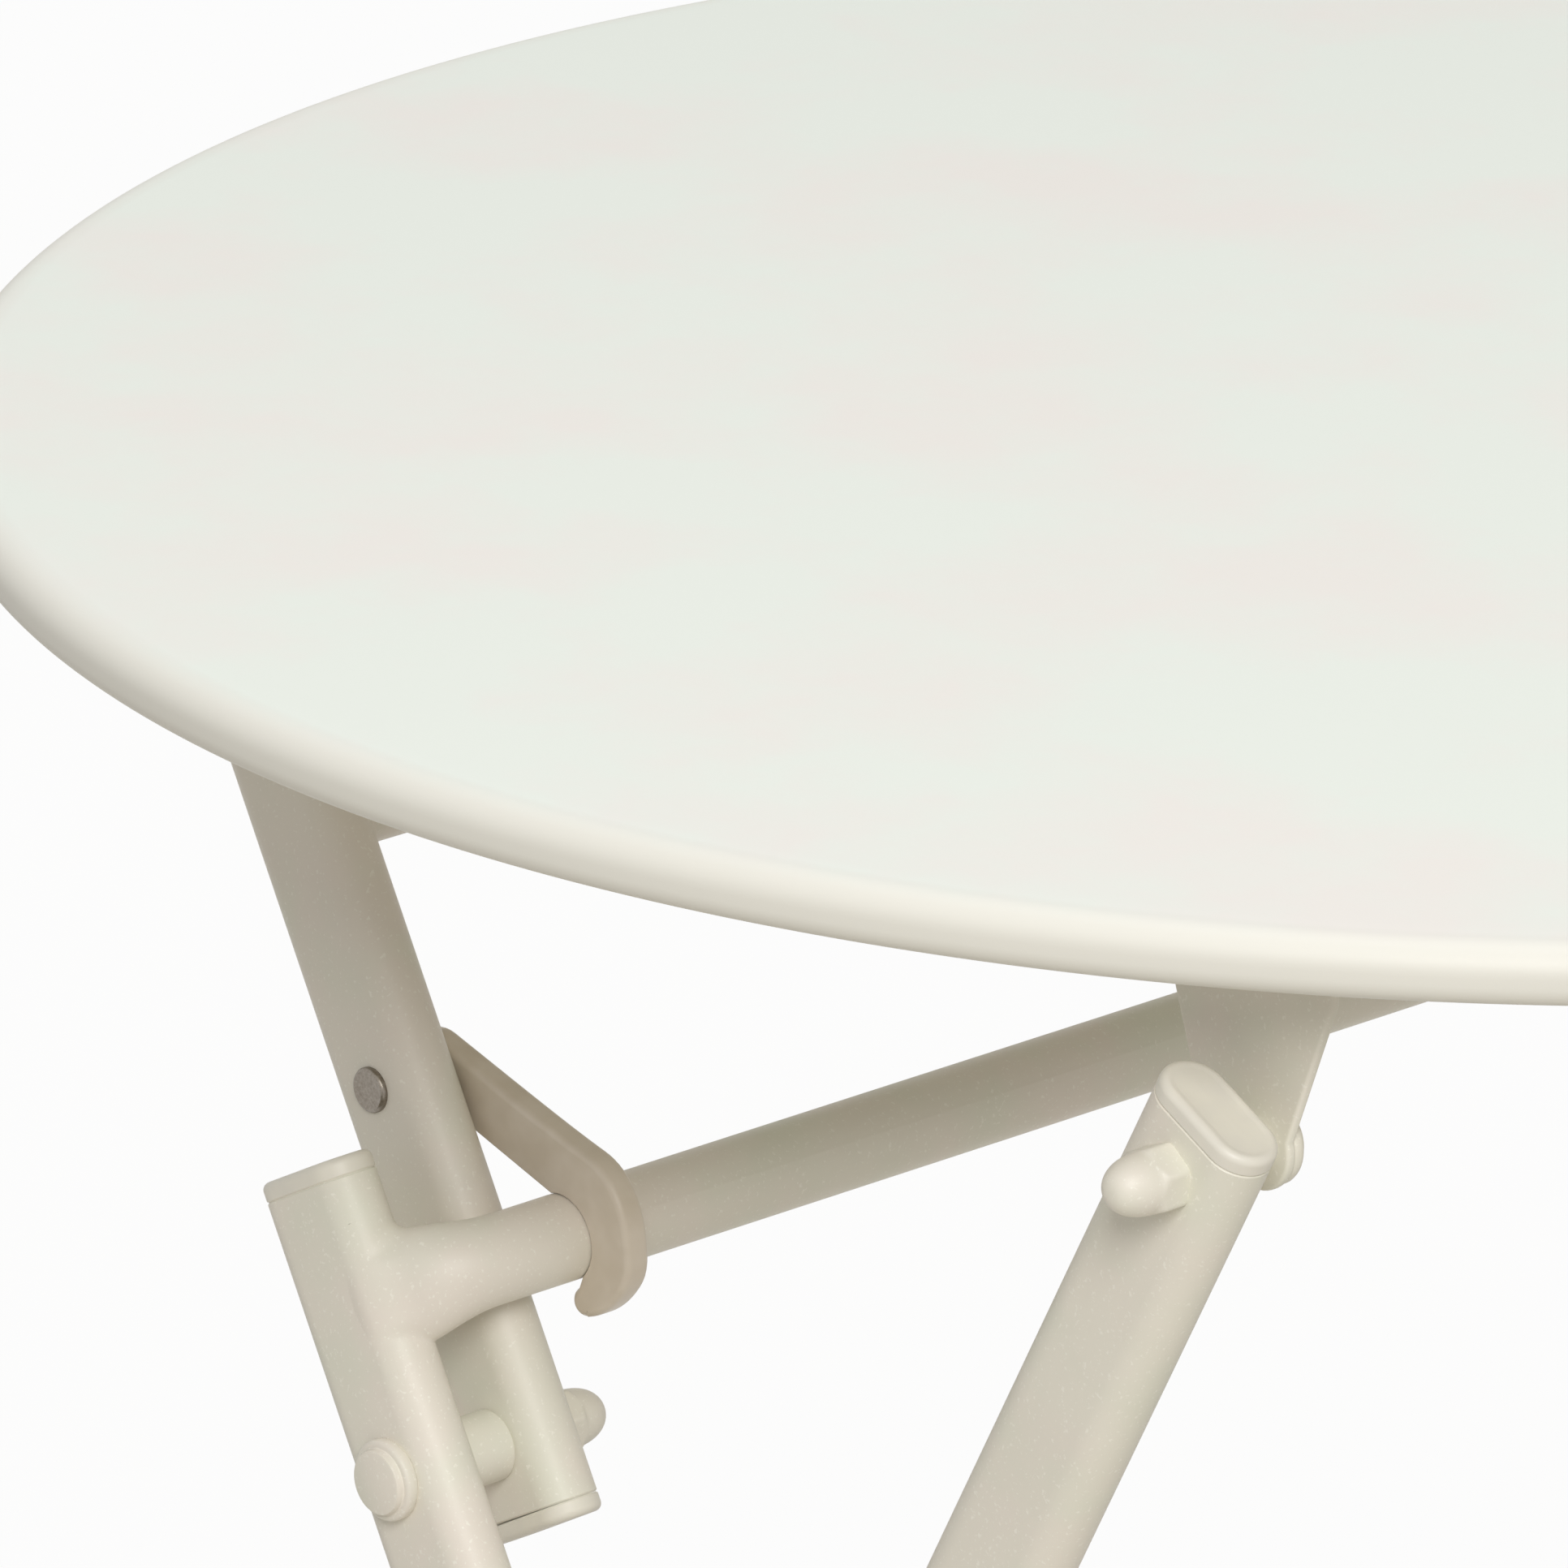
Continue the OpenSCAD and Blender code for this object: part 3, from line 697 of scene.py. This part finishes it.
def latch_rivet():
    """Steel rivet of the hook, with a low bevelled head at each end."""
    hook_in, _ = layer("latch_hook")
    face_h = 0.86 * RIVET_HEAD_H
    head = [(RIVET_HEAD_R, 0), (RIVET_HEAD_R, 0.5 * RIVET_HEAD_H),
            (RIVET_HEAD_R - 0.25 * MM, 0.8 * RIVET_HEAD_H), (RIVET_HEAD_R - 0.7 * MM, RIVET_HEAD_H),
            (RIVET_HEAD_R - 1.0 * MM, 0.94 * RIVET_HEAD_H), (RIVET_HEAD_R - 1.5 * MM, face_h),
            (0.1 * MM, face_h)]
    profile = [(r, hook_in - h) for r, h in reversed(head)]
    profile += [(RIVET_R, hook_in), (RIVET_R, ARM_OUT)]
    profile += [(r, ARM_OUT + h) for r, h in head]
    Form().loft(turned_rings(LATCH_PIN, NEAR, profile)).piece(
        "hook_rivet", "link_frame", "bare_steel", ["latch_rivet"])


# ---- Welded bar ends ----

WELD_CELL = 0.75 * MM                   # grid on which the blend of bar and leg is meshed
BAR_R = 9.5 * MM
BAR_REACH = 30.5 * MM                   # from the leg's inner face to where the blend starts
BAR_ACROSS = 24.8 * MM                  # from the leg's middle to the bar's
BEND_OUT = 4.5 * MM                     # from the leg's inner face to the bend's corner
FLARE = 3.0 * MM                        # how much taller the bar gets towards the leg
FLATTEN = 2.4 * MM                      # how much thinner it gets
LEG_HALF = 17 * MM                      # half the stretch of leg that a bar end takes in
# Blends of bar and leg: sharp under the bar, wide in front, small over it
BLEND_LOW = 0.6 * MM
BLEND_FRONT = 5.0 * MM
BLEND_HIGH = 3.0 * MM


def ramp(value, low, high):
    """0 below low, 1 above high, smooth between."""
    part = np.clip((value - low) / (high - low), 0, 1)
    return part * part * (3 - 2 * part)


def bend_line():
    """Middle line of a bar end: along the bar, then round into the leg, as (across, out)."""
    start = np.array((BAR_ACROSS, -BAR_REACH))
    corner = np.array((BAR_ACROSS, BEND_OUT))
    end = np.array((2.5 * MM, 6.7 * MM))
    t = np.linspace(0, 1, 241)[:, None]
    line = (1 - t) ** 2 * start + 2 * t * (1 - t) * corner + t ** 2 * end
    slope = 2 * (1 - t) * (corner - start) + 2 * t * (end - corner)
    slope /= np.linalg.norm(slope, axis=1, keepdims=True)
    return t[:, 0], line, slope


def weld_field(points):
    """Signed distance to a leg and the bar end that flows into it, at (across, out, along)."""
    across, out, along = points[:, 0], points[:, 1], points[:, 2]
    leg = np.hypot(np.maximum(np.abs(across) - TUBE_T / 2, 0), out - TUBE_T / 2) - TUBE_T / 2
    t, line, slope = bend_line()
    squared = (across[:, None] - line[:, 0]) ** 2 + (out[:, None] - line[:, 1]) ** 2
    nearest = np.argmin(squared, axis=1)
    away = np.stack((across, out), axis=1) - line[nearest]
    slip = np.sum(away * slope[nearest], axis=1)
    off = away[:, 0] * slope[nearest, 1] - away[:, 1] * slope[nearest, 0]
    past_end = np.where((nearest == 0) | (nearest == len(t) - 1), slip, 0)
    flat = BAR_R - FLATTEN * ramp(t[nearest], 0.45, 0.95)
    widened = np.where(along > 0, ramp(t[nearest], 0.25, 0.75), ramp(t[nearest], 0.35, 0.8))
    tall = BAR_R + FLARE * widened
    tiny = 1e-9
    reach = np.sqrt((off / flat) ** 2 + (along / tall) ** 2 + (past_end / flat) ** 2) + tiny
    slant = np.sqrt((off / flat ** 2) ** 2 + (along / tall ** 2) ** 2 + (past_end / flat ** 2) ** 2)
    bar = (reach - 1) * reach / (slant + tiny)
    blend = BLEND_LOW + (BLEND_FRONT - BLEND_LOW) * ramp(along, -12 * MM, -6 * MM)
    blend -= (BLEND_FRONT - BLEND_HIGH) * ramp(along, 6 * MM, 10 * MM)
    blend *= ramp(across, 3 * MM, 11 * MM)
    blend += 0.05 * MM
    # The leg is taken a little thin, so that the blend's skin sinks into the tube at its rim
    leg += 0.02 * MM
    mix = np.maximum(blend - np.abs(leg - bar), 0) / blend
    joined = np.minimum(leg, bar) - mix ** 2 * blend / 4
    leg_part = np.maximum(np.abs(along) - LEG_HALF, -across - 2 * MM)
    return np.maximum(joined, np.maximum(-out - BAR_REACH, leg_part))


def mesh_field(field, low, high, cell):
    """Surface-net mesh of a field's zero level inside a box, as points and quads.

    Each crossed cell gets one point, the mean of the crossings on its edges, which three steps
    along the field's slope then bring onto the surface."""
    axes = [np.arange(low[k], high[k] + cell, cell) for k in range(3)]
    grid = np.stack(np.meshgrid(*axes, indexing="ij"), axis=-1)
    shape = grid.shape[:3]
    value = np.concatenate([field(part) for part in np.array_split(grid.reshape(-1, 3), 64)])
    value = value.reshape(shape)
    inside = value < 0
    cells = tuple(n - 1 for n in shape)
    total = np.zeros(cells + (3,))
    count = np.zeros(cells)
    crossings = []
    for axis in range(3):
        lower = tuple(slice(0, -1) if k == axis else slice(None) for k in range(3))
        upper = tuple(slice(1, None) if k == axis else slice(None) for k in range(3))
        crossed = inside[lower] != inside[upper]
        fall = np.where(crossed, value[lower] - value[upper], 1)
        part = np.where(crossed, value[lower] / fall, 0)
        where = grid[lower] + part[..., None] * (grid[upper] - grid[lower])
        where = where * crossed[..., None]
        others = [k for k in range(3) if k != axis]
        for first in (0, 1):
            for second in (0, 1):
                pick = [slice(None)] * 3
                pick[others[0]] = slice(first, first + cells[others[0]])
                pick[others[1]] = slice(second, second + cells[others[1]])
                total += where[tuple(pick)]
                count += crossed[tuple(pick)]
        crossings.append((axis, others, np.argwhere(crossed), inside[lower][crossed]))
    active = count > 0
    number = np.full(cells, -1)
    number[active] = np.arange(active.sum())
    points = total[active] / count[active][:, None]
    step = 0.05 * MM
    for _ in range(3):
        here = field(points)
        slope = np.stack([(field(points + offset) - here) / step
                          for offset in np.eye(3) * step], axis=1)
        steepness = np.maximum((slope ** 2).sum(axis=1), 0.2)
        points = points - here[:, None] * slope / steepness[:, None]
    faces = []
    for axis, others, edges, starts_inside in crossings:
        ring = []
        for first, second in ((0, 0), (1, 0), (1, 1), (0, 1)):
            corner = edges.copy()
            corner[:, others[0]] -= first
            corner[:, others[1]] -= second
            ring.append(number[tuple(corner.T)])
        quads = np.stack(ring, axis=1)
        flip = starts_inside != (axis == 1)
        quads[flip] = quads[flip][:, ::-1]
        faces.extend(map(tuple, quads.tolist()))
    return points, faces


def bar_ends():
    """Ends of the latch bar and the outer low bar, blended into the legs that carry them."""
    low = (-3 * MM, -BAR_REACH - 2 * MM, -18 * MM)
    high = (36 * MM, TUBE_T + 2 * MM, 18 * MM)
    points, faces = mesh_field(weld_field, low, high, WELD_CELL)

    def add(form, place, across_sign, inner, bar_along):
        base = len(form.points)
        form.points += [place(across_sign * across, inner + out, bar_along + along)
                        for across, out, along in points.tolist()]
        form.faces += [tuple(base + i for i in face) for face in faces]
        return form

    latch_along = from_leg(INNER, middle("latch_bar"))[1]
    low_along = from_leg(OUTER, middle("outer_low_bar"))[1]
    outer_ends = Form()
    for tag, side in SIDES.items():
        form = add(Form(), on_leg(INNER, side), 1, INNER_IN, latch_along)
        form.piece(f"latch_bar_end_{tag}", "inner_legs", "frame_paint", [f"latch_bar_collar_{tag}"])
        add(outer_ends, on_leg(OUTER, side), -1, OUTER_IN, low_along)
    outer_ends.piece("outer_bar_ends", "outer_legs", "frame_paint", ["outer_bar_collars"])


# ---- Latch hook ----

HOOK_LOW = 4.7 * MM                     # from the rivet to the arm's lower edge
HOOK_R = 18.9 * MM
HOOK_NOSE_R = 3.2 * MM
HOOK_EDGE = 1.6 * MM                    # rounding of the hook's edges
HOOK_INNER_EDGE = 0.5 * MM              # rounding of the edges over the bar
HOOK_BEND = (2.8 * MM, 0.8 * MM)        # centre of the outer bend, from the bar's middle
HOOK_FIT = 0.2 * MM                     # clearance round the bar
# Swells of the outer bend: height in metres, place and width in degrees
SHOULDER_SWELL = (0.8 * MM, 28, 26)
HEEL_SWELL = (0.7 * MM, -46, 17)


def hook_outline():
    """Side view of the hook in the leg's frame, with the latch rivet at the origin.

    Gives the outline's points and the rounding of the edges at each of them."""
    bar_across, bar_along = from_leg(INNER, middle("latch_bar"))
    bar = (bar_across, bar_along - LATCH_PIN_S)
    bend = (bar[0] + HOOK_BEND[0], bar[1] + HOOK_BEND[1])
    inner_r = BAR_R + HOOK_FIT
    top_r = (bend[0] + bend[1]) / math.sqrt(2) + HOOK_R
    nose_reach = math.hypot(*bar) + BAR_R + 0.1 * MM + HOOK_NOSE_R
    nose_a = math.asin((bend[0] - 3 * MM) / nose_reach)
    nose = (nose_reach * math.sin(nose_a), -nose_reach * math.cos(nose_a))

    def round_point(centre, radius, angle):
        return centre[0] + radius * math.cos(angle), centre[1] + radius * math.sin(angle)

    def bend_radius(angle):
        radius = HOOK_R
        for height, place, width in (SHOULDER_SWELL, HEEL_SWELL):
            radius += height * math.exp(-((math.degrees(angle) - place) / width) ** 2)
        return radius

    # Outside: round the rivet, down the arm, round the bend to the nose
    cut = math.degrees(math.acos(HOOK_LOW / top_r))
    outer = [round_point((0, 0), top_r, a) for a in arc(225 - cut, 45, 14)]
    arm = (bend[0] - bend[1]) / math.sqrt(2)
    swell = bend_radius(math.radians(45)) - HOOK_R
    for part in (i / 10 for i in range(1, 10)):
        off = top_r + swell * part ** 5
        outer.append(((off + arm * part) / math.sqrt(2), (off - arm * part) / math.sqrt(2)))
    bend_end = math.degrees(math.atan2(nose[1] - bend[1], nose[0] - bend[0]))
    reach = math.hypot(nose[0] - bend[0], nose[1] - bend[1])
    blend = math.degrees(math.acos(min((HOOK_R - HOOK_NOSE_R) / reach, 1)))
    outer += [round_point(bend, bend_radius(a), a) for a in arc(45, bend_end + blend, 30)]
    outer += [round_point(nose, HOOK_NOSE_R, a) for a in arc(bend_end + blend, -268, 16)]
    # Inside: under the bar and up round its outer side to the arm's lower edge
    to_edge = (bar[0] + bar[1]) / math.sqrt(2) + HOOK_LOW
    edge_a = 45 + math.degrees(math.acos(-to_edge / inner_r))
    inner = [round_point(bar, inner_r, a) for a in arc(-72, edge_a, 24)]
    radii = [HOOK_EDGE] * len(outer) + [HOOK_INNER_EDGE] * len(inner)
    return outer + inner, radii


def hook():
    """Moulded hook with well rounded edges."""
    inner, outer = layer("latch_hook")
    outline, radii = hook_outline()
    outline = [(x, y + LATCH_PIN_S) for x, y in outline]
    rings = plate_rings(on_leg(INNER, NEAR), outline, inner, outer, radii)
    Form().loft(rings).piece("hook_moulding", "latch", "hook_plastic", ["latch_hook"])


# ---- Scene ----

CAMERA_AIM = Vector((-0.06927, -0.16719, 0.67342))
CAMERA_AZIMUTH = math.radians(47.31)
CAMERA_ELEVATION = math.radians(19.32)
CAMERA_DISTANCE = 3.59
LENS_MM = 391.6
SENSOR_MM = 36


def direction(azimuth, elevation):
    """Unit vector towards the viewer. Azimuth 0 is on the -Y side, 90 degrees on the +X side."""
    level = math.cos(elevation)
    return Vector((math.sin(azimuth) * level, -math.cos(azimuth) * level, math.sin(elevation)))


def camera():
    """The view of the table's near side, cut off by the picture's edges."""
    data = bpy.data.cameras.new("photo_camera")
    data.lens = LENS_MM
    data.sensor_width = SENSOR_MM
    data.clip_end = 60
    thing = bpy.data.objects.new("photo_camera", data)
    bpy.context.scene.collection.objects.link(thing)
    back = direction(CAMERA_AZIMUTH, CAMERA_ELEVATION)
    thing.location = CAMERA_AIM + back * CAMERA_DISTANCE
    thing.rotation_euler = (-back).to_track_quat("-Z", "Y").to_euler()
    bpy.context.scene.camera = thing


LAMP_COLOUR = (1.0, 0.99, 0.975)


def area_light(name, azimuth, elevation, distance, size, power):
    """Round lamp that faces the legs' crossing. Angles are in degrees, power in watts."""
    data = bpy.data.lights.new(name, "AREA")
    data.shape = "DISK"
    data.size = size
    data.energy = power
    data.color = LAMP_COLOUR
    thing = bpy.data.objects.new(name, data)
    bpy.context.scene.collection.objects.link(thing)
    towards = direction(math.radians(azimuth), math.radians(elevation))
    thing.location = Vector((0, 0, CROSSING.z)) + towards * distance
    thing.rotation_euler = (-towards).to_track_quat("-Z", "Y").to_euler()


def seen_directly(tree):
    """1 on rays from the camera and on mirror and glass rays, otherwise 0."""
    path = tree.nodes.new("ShaderNodeLightPath")
    total = path.outputs["Is Camera Ray"]
    for ray in ("Is Glossy Ray", "Is Transmission Ray"):
        node = tree.nodes.new("ShaderNodeMath")
        node.operation = "MAXIMUM"
        tree.links.new(total, node.inputs[0])
        tree.links.new(path.outputs[ray], node.inputs[1])
        total = node.outputs[0]
    return total


FLOOR_TINT = (0.64, 0.60, 0.53, 1)
FLOOR_WHITE = 0.96                      # share of plain white in what the camera sees of the floor


def floor():
    """Pale floor that the camera sees as nearly white, with a trace of the table's shadow."""
    bpy.ops.mesh.primitive_plane_add(size=40, location=(0, 0, 0))
    thing = bpy.context.object
    thing.name = "floor"
    material = bpy.data.materials.new("floor")
    material.use_nodes = True
    tree = material.node_tree
    shader = tree.nodes["Principled BSDF"]
    shader.inputs["Base Color"].default_value = FLOOR_TINT
    shader.inputs["Roughness"].default_value = 0.9
    shader.inputs["Specular IOR Level"].default_value = 0.0
    white = tree.nodes.new("ShaderNodeEmission")
    white.inputs["Strength"].default_value = 1.0
    share = tree.nodes.new("ShaderNodeMath")
    share.operation = "MULTIPLY"
    share.inputs[1].default_value = FLOOR_WHITE
    tree.links.new(seen_directly(tree), share.inputs[0])
    mix = tree.nodes.new("ShaderNodeMixShader")
    tree.links.new(share.outputs[0], mix.inputs[0])
    tree.links.new(shader.outputs[0], mix.inputs[1])
    tree.links.new(white.outputs[0], mix.inputs[2])
    tree.links.new(mix.outputs[0], tree.nodes["Material Output"].inputs["Surface"])
    thing.data.materials.append(material)


WORLD_LIGHT = 0.36


def world():
    """Even light from all sides, which the camera sees as plain white."""
    scene = bpy.context.scene
    scene.world = bpy.data.worlds.new("studio")
    scene.world.use_nodes = True
    tree = scene.world.node_tree
    lit = tree.nodes["Background"]
    lit.inputs["Color"].default_value = (1, 1, 1, 1)
    lit.inputs["Strength"].default_value = WORLD_LIGHT
    white = tree.nodes.new("ShaderNodeBackground")
    white.inputs["Color"].default_value = (1, 1, 1, 1)
    mix = tree.nodes.new("ShaderNodeMixShader")
    tree.links.new(seen_directly(tree), mix.inputs[0])
    tree.links.new(lit.outputs[0], mix.inputs[1])
    tree.links.new(white.outputs[0], mix.inputs[2])
    tree.links.new(mix.outputs[0], tree.nodes["World Output"].inputs["Surface"])


tabletop()
brackets()
legs()
link_arms()
fasteners()
latch_rivet()
bar_ends()
hook()
camera()
area_light("key", azimuth=50, elevation=38, distance=5.0, size=2.0, power=134)
area_light("top", azimuth=40, elevation=88, distance=4.0, size=2.5, power=40)
floor()
world()
bpy.context.scene.view_settings.view_transform = "Standard"
